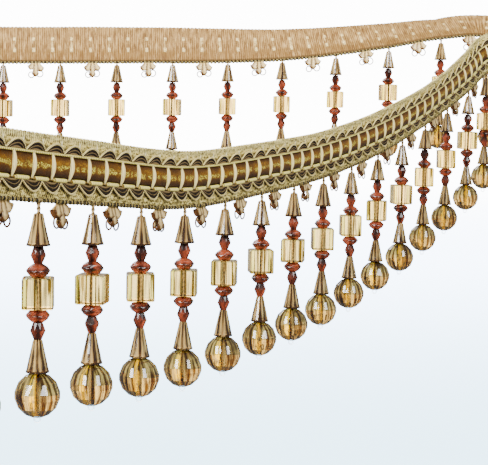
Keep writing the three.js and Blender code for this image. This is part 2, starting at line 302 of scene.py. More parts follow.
def ribbon_of_rings(centre, radius, side, out, sides):
    """Rings of a cord: at each centre, radius times (cosine side + sine out) round the turn."""
    turn = full_turn(sides)
    radius = np.broadcast_to(radius, centre.shape[:-1])[..., None, None]
    ring = np.cos(turn)[:, None] * side[..., None, :] + np.sin(turn)[:, None] * out[..., None, :]
    return centre[..., None, :] + radius * ring


# %% [markdown]
# ## Shader sums as plain sums
# Patterns such as a weave are sums of waves. Math nodes added by hand hide the sum, so one
# small class wraps a socket, and an expression on it adds the nodes. Its method `node` adds
# any other node.

# %% A wrapped socket
class Shade:
    """A value in a material's nodes. Sums and products of it add Math nodes."""

    def __init__(self, tree, source=None, output=0):
        self.tree = tree
        self.source = source
        self.socket = source.outputs[output] if source else None

    def node(self, kind, sockets=None, output=0, **settings):
        """Adds a node: its settings first, then the values or links of its sockets."""
        made = self.tree.nodes.new(kind)
        for name, value in settings.items():
            setattr(made, name, value)
        for name, value in (sockets or {}).items():
            if isinstance(value, Shade):
                self.tree.links.new(value.socket, made.inputs[name])
            else:
                made.inputs[name].default_value = value
        return Shade(self.tree, made, output)

    def out(self, output):
        """Another output of the same node."""
        return Shade(self.tree, self.source, output)

    def math(self, operation, first, second=0.0):
        return self.node("ShaderNodeMath", {0: first, 1: second}, operation=operation)

    def __add__(self, other):
        return self.math("ADD", self, other)

    __radd__ = __add__

    def __mul__(self, other):
        return self.math("MULTIPLY", self, other)

    __rmul__ = __mul__

    def __sub__(self, other):
        return self.math("SUBTRACT", self, other)

    def __rsub__(self, other):
        return self.math("SUBTRACT", other, self)

    def __truediv__(self, other):
        return self.math("DIVIDE", self, other)

    def __abs__(self):
        return self.math("ABSOLUTE", self)

    def wave(self, length=1.0):
        """A wave from 0 to 1 of that length: half of 1 + sine."""
        return self.math("SINE", self * (2 * math.pi / length)) * 0.5 + 0.5

    def above(self, low, high):
        """0 below low, 1 above high, and a smooth step between them."""
        sockets = {"Value": self, 1: low, 2: high}
        return self.node("ShaderNodeMapRange", sockets, interpolation_type="SMOOTHSTEP")

    def below(self, low, high):
        """1 below low and 0 above high."""
        return 1 - self.above(low, high)

    def near(self, centre, inner, outer):
        """1 within inner of the centre, and 0 further than outer from it."""
        return abs(self - centre).below(inner, outer)

    def fraction(self):
        """How far it is above the whole number below it, from 0 to 1."""
        return self - self.math("FLOOR", self)

    def blend(self, low, high):
        """The colour low where this is 0 and high where it is 1."""
        return self.node("ShaderNodeMix", {0: self, 6: low, 7: high}, 2, data_type="RGBA")

    def ramp(self, stops):
        """A colour ramp over this value, given as (place, colour) pairs."""
        made = self.node("ShaderNodeValToRGB", {0: self})
        elements = made.source.color_ramp.elements
        while len(elements) < len(stops):
            elements.new(1.0)
        for element, (place, colour) in zip(elements, stops):
            element.position = place
            element.color = colour
        return made


def tone(red, green, blue):
    """A colour given as it looks on a screen, 0 to 255, turned into linear light."""
    share = np.array([red, green, blue]) / 255
    linear = np.where(share > 0.04045, ((share + 0.055) / 1.055) ** 2.4, share / 12.92)
    return (*linear.tolist(), 1.0)


# %% [markdown]
# ## Starting and finishing a material
# Every finish starts from a Principled shader. What changes over the surface is linked, and
# the rest is set on the shader's own sockets.

# %% Materials
def start(name):
    """A new material, and a first wrapped value in its tree."""
    material = bpy.data.materials.new(name)
    material.use_nodes = True
    return material, Shade(material.node_tree)


def finish(material, links=None, bump=None, bump_size=0.0002, bump_strength=0.6, **fixed):
    """Links what changes, sets what doesn't, and feeds a height through a Bump node."""
    tree = material.node_tree
    shader = next(node for node in tree.nodes if node.type == "BSDF_PRINCIPLED")
    for name, value in fixed.items():
        shader.inputs[name.replace("_", " ").title().replace("Ior", "IOR")].default_value = value
    for name, value in (links or {}).items():
        tree.links.new(value.socket, shader.inputs[name])
    if bump is not None:
        sockets = {"Strength": bump_strength, "Distance": bump_size, "Height": bump}
        relief = bump.node("ShaderNodeBump", sockets)
        tree.links.new(relief.socket, shader.inputs["Normal"])
    return material


def cloth_place(shade):
    """Distance along the piece and place across it, in millimetres, from its UV map."""
    place = shade.node("ShaderNodeUVMap", uv_map="cloth")
    split = shade.node("ShaderNodeSeparateXYZ", {0: place})
    return place, split, split.out(1)


def mesh_tint(shade):
    """The tint kept at each point of the mesh."""
    return shade.node("ShaderNodeAttribute", output=2, attribute_name="tint")


def layered(colour, layers):
    """Lays colours over one another, each where its mask is 1 and at its strength."""
    for mask, strength, over in layers:
        colour = (mask * strength).blend(colour, over)
    return colour


def speckle(shade, place, stretch, detail=2.0):
    """Fine noise over the cloth, its grain stretched by three factors."""
    scaled = shade.node("ShaderNodeVectorMath", {0: place, 1: stretch}, operation="MULTIPLY")
    return shade.node("ShaderNodeTexNoise", {"Vector": scaled, "Scale": 1.0, "Detail": detail})


# %% [markdown]
# ## Woven tape: finish
# The tape is woven of thin metallic-looking yarns. Its outer face shows slanted cream
# stitches on olive gold, with fine dark specks along its bobbly top edge. Its reverse is a
# plain rosy tan with upright ribs, and two pale stitches where each bar is sewn down, which
# run together here and there. Both are drawn on the tape's own UV map, where across runs up
# the outer face from 0 to 25 and down the reverse from 25 to 50.

# %% Woven tape finish
STITCH_LENGTH = 1.5
STITCH_ROWS = 1.25
RIB_LENGTH = REPEAT / 9
EDGE_DOTS = REPEAT / 9.5
SEAM_SHARE = 0.08
SEWING_ROWS = (8.6, 16.4)


def woven_finish():
    material, shade = start("woven gold yarn")
    place, along, across = cloth_place(shade)
    reverse = across.above(TAPE_WIDTH, TAPE_WIDTH + 0.4)
    height = TAPE_WIDTH - abs(across - TAPE_WIDTH)
    from_last = (along / REPEAT + (1.5 - BAR_SHARE)).fraction()
    grain = speckle(shade, place, (1.9, 1.1, 1), 3.0)

    row = (height / STITCH_ROWS).wave()
    slant = (along + height * 0.55).wave(STITCH_LENGTH)
    counter = (along - height * 0.55).wave(STITCH_LENGTH)
    stitch = slant * row + counter * (1 - row)
    light = (stitch * 0.55 + grain * 1.5 + height * 0.008).above(0.68, 1.4)
    fleck = speckle(shade, place, (0.38, 1.0, 1), 4.0)
    dots = along.wave(EDGE_DOTS).above(0.35, 0.7).blend(tone(44, 30, 6), tone(255, 238, 160))
    top_edge = height.above(21.8, 23.0) * grain.above(0.4, 0.55)
    # painted shade: the face darker behind the arched gimp
    gimp_shade = height.above(2.9, 4.4) * height.below(19.8, 21.4)
    seam = from_last.near(SEAM_SHARE, 0.015, 0.05) * height.above(17.5, 18.5)
    seam = seam * height.below(22.0, 23.5)
    face = layered(light.blend(tone(44, 32, 4), tone(246, 222, 126)), [
        (fleck.above(0.51, 0.6), 0.8, tone(48, 34, 6)),
        (fleck.below(0.38, 0.48), 0.7, tone(252, 236, 152)),
        (top_edge, 0.85, dots),
        (gimp_shade, 0.85, tone(66, 50, 22)),
        (seam, 0.8, tone(255, 244, 196)),
    ])

    rib = along.wave(RIB_LENGTH)
    broad = speckle(shade, place, (0.3, 0.12, 1))
    back_light = (rib * 0.35 + grain * 0.9 + broad * 0.9).above(0.6, 1.5)
    streak = speckle(shade, place, (0.8, 0.14, 1), 3.0)
    knots = height.near(SEWING_ROWS[0], 1.0, 1.9) + height.near(SEWING_ROWS[1], 0.7, 1.5)
    stroke = height.near(sum(SEWING_ROWS) / 2, 3.5, 5.0) * broad.above(0.5, 0.6)
    sewn = from_last.near(0.5, 0.045, 0.1) * (knots + stroke * 0.6) * grain.above(0.36, 0.52)
    back = layered(back_light.blend(tone(98, 70, 30), tone(186, 146, 86)), [
        (streak.above(0.5, 0.64), 0.65, tone(96, 60, 26)),
        (streak.below(0.34, 0.46), 0.5, tone(222, 182, 118)),
        (broad.above(0.36, 0.56) * height.below(7.0, 11.0), 0.6, tone(112, 78, 28)),
        # painted shade along the lower edge of the reverse
        (height.below(0.8, 2.2), 0.7, tone(70, 50, 22)),
        (sewn, 0.85, tone(250, 222, 152)),
    ])

    relief = reverse * (rib * 0.8) + (1 - reverse) * stitch + grain * 0.4
    return finish(
        material, {"Base Color": reverse.blend(face, back)}, relief, bump_size=0.00025,
        bump_strength=0.8, roughness=0.7, specular_ior_level=0.2,
    )


woven_gold = woven_finish()

# %% [markdown]
# ## Woven tape: shape
# A cloth simulation would only flatten this short stiff tape, whose hang is already known, so
# it is modelled directly as a thin closed sheet. Both edges are bobbly where the weft turns
# back, the reverse has upright ribs, and the outer face has rows of raised stitches.

# %% Woven tape
HALF = 0.8
FACE_HEIGHTS = [0.3, 1.2, 2.2, 3.3, 4.6, 6.9, 8.5, 12.75, 17.0, 18.6, 20.0, 21.2, 22.4, 23.6, 24.7]
BACK_HEIGHTS = [24.7, 23.2, 21.0, 18.0, 15.0, 12.5, 10.0, 7.0, 4.0, 1.8, 0.3]
BOBBLES_PER_REPEAT = 5


def woven_tape():
    """A ring at each of 36 steps of a repeat. Out = +-half the thickness, plus ribs on the
    reverse and stitches on the face, both cosines along the tape; the two edges move up and
    down by a cosine of five bobbles a repeat."""
    along = tape_steps(36)[:, None]
    face, back = np.array(FACE_HEIGHTS), np.array(BACK_HEIGHTS)
    heights = np.concatenate([face, [TAPE_WIDTH], back, [0.0]])[None, :]
    side = np.concatenate([np.ones(len(face)), [0.0], -np.ones(len(back)), [0.0]])[None, :]
    bobble = np.cos(2 * math.pi * BOBBLES_PER_REPEAT * along / REPEAT)
    slow = 0.12 * np.sin(along / 31.0) + 0.08 * np.sin(along / 11.3)
    edge = np.clip((heights - 22.5) / 2.5, 0, 1) * (0.22 * bobble + slow)
    edge = edge - np.clip((1.5 - heights) / 1.5, 0, 1) * (0.2 * bobble + slow * 0.6)
    rib = 0.11 * np.cos(2 * math.pi * along / RIB_LENGTH)
    stitch_row = np.cos(math.pi * heights / STITCH_ROWS)
    stitch = 0.13 * np.cos(2 * math.pi * along / STITCH_LENGTH + heights) * stitch_row
    open_weave = (heights > 19.5) | (heights < 4.0)
    out = side * HALF + np.where(side < 0, -rib, 0) + np.where((side > 0) & open_weave, stitch, 0)
    rings = on_tape(along, heights + edge, out)
    whole = 2 * TAPE_WIDTH
    across = np.concatenate([face, [TAPE_WIDTH], whole - back, [whole, whole]])
    return skin(rings[None], along[:, 0], across)


tape = make_piece("tape_cloth", [woven_tape()], woven_gold, ["woven_tape"])
tape_area = TAPE_WIDTH * LENGTH / 100
print(f"cut size {TAPE_WIDTH:.0f} x {LENGTH:.0f} mm, {tape_area:.0f} square centimetres")

# %% [markdown]
# ## Velvet ribbon
# Along the middle runs a shiny amber ribbon, held down by the bars, so that it puffs up a
# little between them. Its pile is painted darker towards both edges and lighter in the middle,
# as the sheen on its dome. Along its middle runs a line of glittering grains painted as
# highlight: a few very bright grains of noise, which also get a metallic shine.

# %% Velvet ribbon
FACE = 1.15
RIBBON_LOW, RIBBON_HIGH = 8.5, 17.0
RIBBON_MIDDLE = (RIBBON_LOW + RIBBON_HIGH) / 2


def velvet_finish():
    material, shade = start("amber velvet ribbon")
    place, _, across = cloth_place(shade)
    # painted sheen: the ribbon lighter in its middle and darker towards both edges
    middle = across.near(RIBBON_MIDDLE + 0.6, 0.8, 4.2)
    nap = speckle(shade, place, (1.5, 1.5, 1), 4.0)
    patch = speckle(shade, place, (0.22, 0.3, 1))
    light = (middle * 0.35 + nap * 0.7 + patch * 0.5).above(0.42, 1.25)
    colour = light.ramp([
        (0.0, tone(36, 17, 0)), (0.4, tone(74, 41, 0)),
        (0.75, tone(110, 70, 0)), (1.0, tone(180, 130, 4)),
    ])
    grain = speckle(shade, place, (1.7, 1.7, 1), 1.0)
    # painted highlight: bright grains along a wavy line in the middle, also made metallic
    line = (across + (patch - 0.5) * 4.0).near(RIBBON_MIDDLE, 0.3, 1.2)
    cluster = speckle(shade, place, (0.4, 0.1, 1)).above(0.4, 0.52)
    glitter_highlight = grain.above(0.5, 0.56) * line * cluster
    colour = glitter_highlight.blend(colour, tone(255, 240, 96))
    links = {"Base Color": colour, "Metallic": glitter_highlight * 0.4, "Roughness": 0.5 - glitter_highlight * 0.2}
    return finish(
        material, links, nap + grain * 0.5, bump_size=0.0003, bump_strength=0.7,
        specular_ior_level=0.25,
    )


def velvet_ribbon():
    """Closed section: flat back, and a front whose rise is a flattened dome across the width.
    The dome sinks where a bar crosses: it is scaled by the distance from the bar."""
    along = tape_steps(12)[:, None]
    across = np.linspace(-1, 1, 9)
    puff = 0.55 + 0.45 * np.clip(np.abs(from_bar(along)) / 0.22, 0, 1) ** 0.6
    rise = 0.3 + 0.85 * (1 - across**4) * puff
    heights = RIBBON_MIDDLE + across * (RIBBON_HIGH - RIBBON_LOW) / 2
    front = on_tape(along, heights, FACE + rise)
    back = on_tape(along, heights[::-4], FACE)
    around = np.concatenate([heights, heights[::-4], heights[:1]])
    return skin(np.concatenate([front, back], 1)[None], along[:, 0], around)


make_piece("velvet_ribbon", [velvet_ribbon()], velvet_finish(), ["centre_ribbon"])

# %% [markdown]
# ## Cream bars
# Once in every repeat a flat bundle of cream threads crosses the ribbon. It is widest in its
# middle, bows to one side, and is drawn in at both ends where it is sewn down.

# %% Cream bars
BAR_LOW, BAR_HIGH = 7.6, 17.9
BAR_WIDTH = 2.6
BAR_BOW = 0.9


def thread_finish(name, dark, light, threads, shine=0.45):
    """Threads laid side by side: a wave round the piece, plus noise drawn out along it."""
    material, shade = start(name)
    place, _, across = cloth_place(shade)
    lines = across.wave(1.0 / threads)
    grain = speckle(shade, place, (0.8, 30.0, 1))
    lit = (lines * 0.4 + grain * 0.8 - 0.1 + mesh_tint(shade)).above(0.1, 0.9)
    colour = lit.blend(dark, light)
    return finish(
        material, {"Base Color": colour}, lines, bump_size=0.00015,
        roughness=shine, specular_ior_level=0.3,
    )


def cream_bars():
    """Each bar is a row of flat rings from its low to its high end. Half width is a power of
    a sine, so it is a lens; the middle bows along the tape by a sine; the rise follows the
    lens too. Small seeded changes keep no two bars alike."""
    chance = np.random.default_rng(11)
    centre = ((np.arange(REPEATS) + BAR_SHARE) * REPEAT)[:, None]
    t = np.linspace(0, 1, 13)[None, :]
    lens = np.sin(math.pi * np.clip(t, 0.04, 0.96)) ** 0.65
    width = BAR_WIDTH * chance.uniform(0.85, 1.1, (REPEATS, 1))
    bow = BAR_BOW * chance.uniform(0.4, 1.2, (REPEATS, 1))
    skew = chance.uniform(-0.25, 0.45, (REPEATS, 1))
    middle = centre + bow * (np.sin(math.pi * t) - 0.4) + skew * (t - 0.5) * 2
    height = BAR_LOW + (BAR_HIGH - BAR_LOW) * t
    turn = full_turn(12)
    along = middle[..., None] + np.cos(turn) * (lens * width / 2)[..., None]
    bulge = np.clip(np.sin(turn), -0.25, 1)
    out = FACE + 0.35 + lens[..., None] * 0.6 + bulge * (0.35 + 0.75 * lens[..., None])
    # painted shade: one side of each bar darker than the other
    tint = 0.25 - 0.9 * np.clip(np.cos(turn), 0, 1)
    return skin(on_tape(along, height[..., None], out), height, None, tint)


cream_threads = thread_finish("cream silk threads", tone(184, 116, 60), tone(255, 240, 164), 9)
make_piece("cream_bars", [cream_bars()], cream_threads)

# %% [markdown]
# ## Cords along the ribbon
# A thin gold cord runs along the ribbon's top edge. Along its bottom edge a thicker pale cord
# shows between the bars and dips behind each bar's end, so its radius and rise shrink there,
# and its colour is painted darker there as shade.

# %% Cords beside the ribbon
def cord_on_tape(along, height, out, radius, sides, tint=0.0):
    """A round cord whose centre follows a height and a rise along the tape. Each ring lies in
    the plane of the tape's normal and the direction square to the cord on the tape."""
    centre = on_tape(along, height, out)
    normal = directions(along)[2]
    run = unit(np.gradient(centre, axis=0))
    side = unit(np.cross(run, normal))
    rings = ribbon_of_rings(centre, radius, side, normal, sides)
    tint = np.broadcast_to(tint, along.shape)[None, :, None]
    return skin(rings[None], run_length(centre), None, tint)


def cord_finish(name, dark, light, turn_length, shine=0.5):
    """A twisted cord: stripes that wind round it once every turn_length."""
    material, shade = start(name)
    place, along, across = cloth_place(shade)
    twist = (along / turn_length + across).wave()
    grain = speckle(shade, place, (2.0, 4.0, 1))
    lit = (twist * 0.7 + grain * 0.6 + mesh_tint(shade)).above(0.15, 1.0)
    colour = lit.blend(dark, light)
    return finish(material, {"Base Color": colour}, twist, roughness=shine, specular_ior_level=0.25)


cord_steps = tape_steps(12)
away_from_bar = np.clip((np.abs(from_bar(cord_steps + 0.6)) - 0.1) / 0.1, 0, 1)
# The tint paints shade on the lower cord where it dips behind a bar.
lower_cord = cord_on_tape(
    cord_steps, 7.7, FACE + 0.15 + 0.75 * away_from_bar, 0.35 + 0.45 * away_from_bar, 8,
    0.3 - 1.2 * (1 - away_from_bar),
)
upper_cord = cord_on_tape(cord_steps, 17.6, FACE + 0.65, 0.5, 7, 0.1)
pale_cord = cord_finish("pale gold cord", tone(126, 96, 34), tone(255, 240, 134), 1.3, 0.4)
make_piece("lower_cord", [lower_cord], pale_cord, ["lower_piping"])
make_piece("upper_cord", [upper_cord], pale_cord, ["upper_piping"])

# %% [markdown]
# ## Arched gimp
# Above and below the ribbon run rows of arches, each of five cords that lie inside one
# another: a thin cream one outside, then a dark one, a thin grey one, another dark one, and a
# core that fills the middle. They come together at the feet between two arches. One formula
# gives them all, with another depth for each cord.

# %% Arched gimp
GIMP_CORDS = [
    # depth from the foot, inset of the feet in repeats, radius, rise above the face, which yarn
    (1.00, 0.02, 0.40, 0.62, "cream"),
    (0.76, 0.06, 0.50, 0.54, "dark"),
    (0.54, 0.11, 0.18, 0.80, "grey"),
    (0.40, 0.14, 0.40, 0.50, "dark"),
    (0.14, 0.20, 0.46, 0.30, "grey"),
]
ARCH_ROWS = {
    # height of the feet, depth, start in repeats after a bar, power
    "lower": (7.0, -4.2, -0.52, 0.62),
    "upper": (17.9, 3.7, -0.40, 0.55),
}
ARCH_SKEW = 1.35


def arch_cords(row, yarn):
    """Height = foot + depth * sine(pi * g)^power, where g is the share of the arch between its
    inset feet, raised to a skew that puts the top of the arch after its middle. A power near
    1 makes pointed arches and a low one round arches."""
    along = tape_steps(18)
    foot, full_depth, begin, power = row
    share = np.mod(along / REPEAT - BAR_SHARE - begin, 1.0)
    wander = 0.14 * np.sin(along / 17.0) + 0.12 * np.sin(along / 5.7)
    cords = []
    for depth, inset, radius, rise, kind in GIMP_CORDS:
        if kind == yarn:
            inner = np.clip((share - inset) / (1 - 2 * inset), 0, 1)
            arch = np.sin(math.pi * inner**ARCH_SKEW) ** power
            height = foot + full_depth * depth * arch + wander * arch
            cords.append(cord_on_tape(along, height, FACE + rise + 0.25 * arch, radius, 7))
    return cords


gimp_yarns = {
    "cream": cord_finish("cream gimp yarn", tone(140, 104, 50), tone(255, 238, 160), 0.9),
    "dark": cord_finish("dark gimp yarn", tone(3, 1, 0), tone(40, 27, 10), 0.9, 0.7),
    "grey": cord_finish("grey gimp yarn", tone(70, 54, 28), tone(156, 130, 84), 0.9),
}
for row_name, row in ARCH_ROWS.items():
    for yarn, material in gimp_yarns.items():
        replaced = [f"{row_name}_scallops"] if yarn == "cream" else []
        make_piece(f"{row_name}_{yarn}_gimp", arch_cords(row, yarn), material, replaced)

# %% [markdown]
# ## Edging under the tape
# A fine olive yarn is bound along the lower edge in small dark bobbles, and holds the
# strands. Behind it a thinner yarn holds the ribbon tufts. The radius of both goes in and out.

# %% Edging yarns
def edging(drop, out, radius, swell, sides):
    """A cord straight under the tape's edge, its radius = radius + swell * cosine."""
    along = tape_steps(30)
    tilt = np.abs(np.sin(np.radians(np.interp(along, route_along, route_facts[:, 0]))))
    centre = under_tape(along, drop + HALF / 2 * tilt, out)
    tangent, _, _, outward = directions(along)
    down = np.cross(tangent, outward)
    bobble = np.cos(2 * math.pi * BOBBLES_PER_REPEAT * along / REPEAT)
    uneven = 0.7 + 0.3 * np.sin(along / 5.1) * np.sin(along / 13.7)
    rings = ribbon_of_rings(centre, radius + swell * bobble * uneven, down, outward, sides)
    # painted light and shade: the yarn lighter on each bobble and darker between them
    return skin(rings[None], along, None, (0.5 * bobble - 0.3)[None, :, None])


olive_yarn = cord_finish("olive edging yarn", tone(22, 16, 4), tone(160, 140, 80), 1.1)
make_piece("strand_edging", [edging(0.35, 0.0, 0.85, 0.42, 8)], olive_yarn)
make_piece("tuft_edging", [edging(0.2, -1.0, 0.6, 0.12, 6)], olive_yarn)

# %% [markdown]
# ## Bead strands: places
# Every strand hangs straight down from the edge on a twisted thread, and has turned a little
# on it. A bead is one profile of (drop, radius) pairs, turned round the strand's axis, out
# and back through its hole, so that its skin is closed. The function makes all 27 at once.

# %% Strand places and the bead function
TWIST_FACING, TWIST_SWING, TWIST_RATE = -9.0, 8.0, 2.4
strand = np.arange(STRANDS)
strand_along = (strand + 0.5) * PITCH
strand_neck = np.interp(strand_along, route_along, route_facts[:, 1])
strand_top = under_tape(strand_along, strand_neck, 0.0)
strand_turn = np.radians(TWIST_FACING + TWIST_SWING * np.sin(TWIST_RATE * strand))
HOLE, HOLE_TINT = 0.9, 0.1
NOISE_STEP = 200.0


def bead(profile, sides, outline=1.0, turn=0.0, hole=HOLE, tint=0.0, steps=0.0, around=None):
    """All copies of one bead. A point = strand axis + radius * outline * (cosine, sine),
    drop lower. Rings run down the outside and up through the hole of that radius. outline
    scales the radius round the turn and turn twists each ring, in turns of one side. A long
    step in the UV place between strands gives each its own noise."""
    drop, radius = np.array(profile, float).T
    rings = len(drop)
    angles = full_turn(sides) + steps + np.broadcast_to(turn, rings)[:, None] * 2 * math.pi / sides
    outer = radius[:, None] * np.broadcast_to(outline, sides)
    drops = np.concatenate([drop, drop[[-1, 0]]])
    radii = np.vstack([outer, np.full((2, sides), hole)])
    angles = np.vstack([angles, angles[[-1, 0]]])
    spoke = spokes(angles[None] + strand_turn[:, None, None])
    points = strand_top[:, None, None] + radii[None, :, :, None] * spoke
    points = points - drops[None, :, None, None] * upright
    tints = np.vstack([np.broadcast_to(tint, (rings, sides)), np.full((2, sides), HOLE_TINT)])
    return skin(points, drops + NOISE_STEP * strand[:, None], around, tints, ring_shut=True)


# %% [markdown]
# ## Acrylic
# The beads are moulded of tinted clear acrylic, so they bend the light from behind them. The
# tint is the base colour of a shader that lets light through. The cones are a smoky champagne
# with grooves painted darker as shade, the square and round beads a paler champagne. Their
# upright streaks, stripes and glints are painted light and shade of refraction.

# %% Acrylic finishes
def acrylic(name, thin, deep, clear, rough, streaks, glint=None, shine=0.5, base=0.1):
    """Colour from thin to deep by the tint kept on the mesh and by upright streaks, which are
    noise drawn out along the strand and paint the light and shade of refraction. A glint is a
    painted amber reflection on one side of the turn."""
    material, shade = start(name)
    place, _, around = cloth_place(shade)
    streak = speckle(shade, place, (0.09, streaks, 1), 1.0)
    depth = mesh_tint(shade) * 0.8 + (streak - 0.5) * 2.4 + base
    if glint:
        depth = depth - around.near(glint, 0.02, 0.1) * 0.25
    colour = depth.above(0.0, 1.0).blend(thin, deep)
    if glint:
        patch = speckle(shade, place, (0.3, 30.0, 1), 1.0)
        painted_glint = around.near(glint, 0.012, 0.035) * patch.above(0.4, 0.5)
        colour = painted_glint.blend(colour, tone(255, 190, 0))
    return finish(
        material, {"Base Color": colour}, roughness=rough, transmission_weight=clear,
        ior=1.49, specular_ior_level=shine,
    )


CUBE_SIDE = 12.0


def square_finish():
    """Clear faces with painted refraction: two brown lines down the middle, brown at some
    upright edges and darker corners, and a painted yellow-green glint near one edge.
    """
    material, shade = start("square bead acrylic")
    place, _, around = cloth_place(shade)
    across = ((around / CUBE_SIDE).fraction() - 0.5) * CUBE_SIDE
    aside = abs(across)
    streak = speckle(shade, place, (0.05, 0.9, 1), 1.0)
    edge = aside.near(4.6, 0.2, 0.9) * streak.above(0.42, 0.52)
    depth = aside.near(1.0, 0.1, 0.5) * 1.1 + edge * 1.4 + aside.above(5.3, 5.9) * 0.9
    depth = (depth + (streak - 0.42) * 2.6).above(0.0, 1.0)
    colour = depth.blend(tone(222, 184, 104), tone(28, 12, 0))
    # painted glint: yellow-green near one upright edge of a face
    colour = (across.near(-4.9, 0.3, 0.8) * 0.7).blend(colour, tone(206, 190, 60))
    return finish(
        material, {"Base Color": colour}, roughness=0.03, transmission_weight=0.72, ior=1.49,
    )


champagne = acrylic(
    "champagne acrylic", tone(172, 138, 70), tone(34, 12, 0), 0.66, 0.05, 30.0, 0.72, base=0.25,
)
smoky = acrylic(
    "smoky champagne acrylic", tone(202, 166, 100), tone(44, 22, 4), 0.45, 0.1, 10.0, base=0.14,
)
rust = acrylic("rust acrylic", tone(152, 68, 38), tone(34, 8, 2), 0.46, 0.22, 5.0, shine=0.12)
nylon = acrylic("clear nylon", tone(226, 228, 230), tone(196, 198, 200), 0.9, 0.05, 5.0)

# %% [markdown]
# ## Cones
# Two long cones hang in each strand, their narrow end up. Upright flutes run down them, from
# a radius that goes in and out a little round the turn, and a small rim closes the wide end.

# %% Cones
FLUTES = 10
flute = np.tile([1.0, 0.985], FLUTES)
groove_shade = np.tile([0.0, 1.25], FLUTES)
CONE = [
    (0.0, 1.5), (0.35, 1.85), (4.0, 2.6), (8.0, 3.5), (11.3, 4.3),
    (11.7, 4.55), (12.3, 4.55), (12.4, 4.1), (11.9, 3.3),
]
LONG_CONE = [
    (48.3, 1.5), (48.7, 1.85), (52.5, 2.65), (56.5, 3.55), (59.9, 4.25),
    (60.3, 4.5), (60.9, 4.5), (61.0, 4.1), (60.6, 3.3),
]


def cone_tint(profile):
    """Grooves are painted darker as shade, and the rim darkest."""
    drop = np.array(profile)[:, 0]
    rim = np.clip((drop - drop.max() + 1.1) / 0.4, 0, 1)[:, None]
    return groove_shade[None, :] * (1 - rim) + rim * 1.2


cones = [bead(rows, 2 * FLUTES, flute, tint=cone_tint(rows)) for rows in (CONE, LONG_CONE)]
fringes = [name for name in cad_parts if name.startswith("bead_fringe")]
make_piece("cones", cones, smoky, fringes, smooth=False)

# %% [markdown]
# ## Rust beads
# Between the cone and the square bead are a long bicone and a flat one, and the same again
# below it, the other way up. They are cut like crystal: each ring is turned by half a facet
# against the next, which makes the facets triangles.

# %% Rust beads
LONG = [(0.0, 1.8), (2.9, 2.95), (3.4, 2.95), (6.8, 1.6)]
FLAT = [(0.0, 2.1), (1.1, 3.7), (2.3, 4.6), (2.8, 4.6), (4.1, 3.7), (5.1, 2.3)]
LONG_CUT = (LONG, 8, (1.1, 0.8, 0.6, 0.7))
FLAT_CUT = (FLAT, 12, (0.5, 0.2, 0.9, 0.8, 0.25, 0.5))
RUST_BEADS = [(12.6, LONG_CUT), (19.3, FLAT_CUT), (36.4, FLAT_CUT), (41.5, LONG_CUT)]
rust_beads = []
for top, (rows, sides, tints) in RUST_BEADS:
    turn = 0.5 * (np.arange(len(rows)) % 2)
    tint = np.array(tints)[:, None]
    rust_beads.append(bead(np.add(rows, (top, 0)), sides, turn=turn, tint=tint))
make_piece("rust_beads", rust_beads, rust, smooth=False)

# %% [markdown]
# ## Square beads
# The middle bead is a 12 mm cube with slightly rounded edges. Its outline is a squared-off
# circle, whose cosine and sine are raised to a high power, sampled most closely at the corners.

# %% Square beads
def squared(angle, power=14):
    """Radius 1 over (|cosine|^n + |sine|^n)^(1/n), a square with rounded corners."""
    return 1 / (np.abs(np.cos(angle)) ** power + np.abs(np.sin(angle)) ** power) ** (1 / power)


corner_steps = np.radians([-45, -41, -36, -12, 12, 36, 41])
square_angles = (np.radians([0, 90, 180, 270])[:, None] + corner_steps).ravel()
face_places = CUBE_SIDE * np.arange(4)[:, None] + CUBE_SIDE / 2 * (1 + np.tan(corner_steps))
CUBE = [(24.4, 4.9), (24.5, 5.6), (24.9, 6.0), (35.9, 6.0), (36.3, 5.6), (36.4, 4.9)]
cube = bead(
    CUBE, len(square_angles), squared(square_angles), hole=0.75,
    steps=square_angles - full_turn(len(square_angles)),
    around=np.append(face_places.ravel(), 4 * CUBE_SIDE),
)
make_piece("square_beads", [cube], square_finish(), smooth=False)

# %% [markdown]
# ## Round beads
# The lowest bead is a ball of 17 to 18 mm, cut with long upright facets, slightly twisted. The
# rings are circles of a sphere, each turned a little more than the last.

# %% Round beads
BALL_TOP, BALL_RADIUS, BALL_FACETS = 60.9, 8.8, 36
polar = np.radians([14, 32, 56, 82, 98, 124, 148, 166])
ball_rows = np.stack([BALL_TOP + BALL_RADIUS * (1 - np.cos(polar)), BALL_RADIUS * np.sin(polar)], 1)
# Every other facet is tinted darker, painted refraction stripes, and the tint darkens towards both
# poles.
ball_poles = np.array([1.0, 0.5, 0.1, 0.0, 0.0, 0.0, 0.2, 0.8])[:, None]
ball_tint = np.clip(np.tile([0.0, 1.0], BALL_FACETS // 2)[None, :] + ball_poles, 0, 1.1)
ball = bead(ball_rows, BALL_FACETS, turn=np.linspace(-0.35, 0.35, len(polar)), tint=ball_tint)
make_piece("round_beads", [ball], champagne, smooth=False)

# %% [markdown]
# ## Threads and end loops
# A two-ply thread carries each strand. It shows above the first bead, and as a brown line
# inside the clear beads. Below the ball it ends in a small clear nylon loop.

# %% Threads and end loops
THREAD_RADIUS = 0.72
NECK, NECK_TURNS = 4.4, 2.5
LOOP_DROP = 79.3


def strand_threads():
    """Rings whose radius is a two-lobed circle, radius * (1 + 0.2 cosine 2(turn - twist)),
    with the twist growing down the thread. Long steps inside the beads, short ones above."""
    turn = full_turn(8)
    neck = np.linspace(-1, 0.1, 16) * (strand_neck[:, None] + 0.3)
    inside = np.tile([12.0, 24.0, 36.0, 48.0, 61.0, 78.0], (STRANDS, 1))
    drop = np.concatenate([neck, inside], 1)
    twist = math.pi * NECK_TURNS * drop / NECK
    radius = THREAD_RADIUS * (1 + 0.2 * np.cos(2 * (turn - twist[..., None])))
    points = strand_top[:, None, None] + radius[..., None] * spokes(turn)
    return skin(points - drop[..., None, None] * upright, drop)


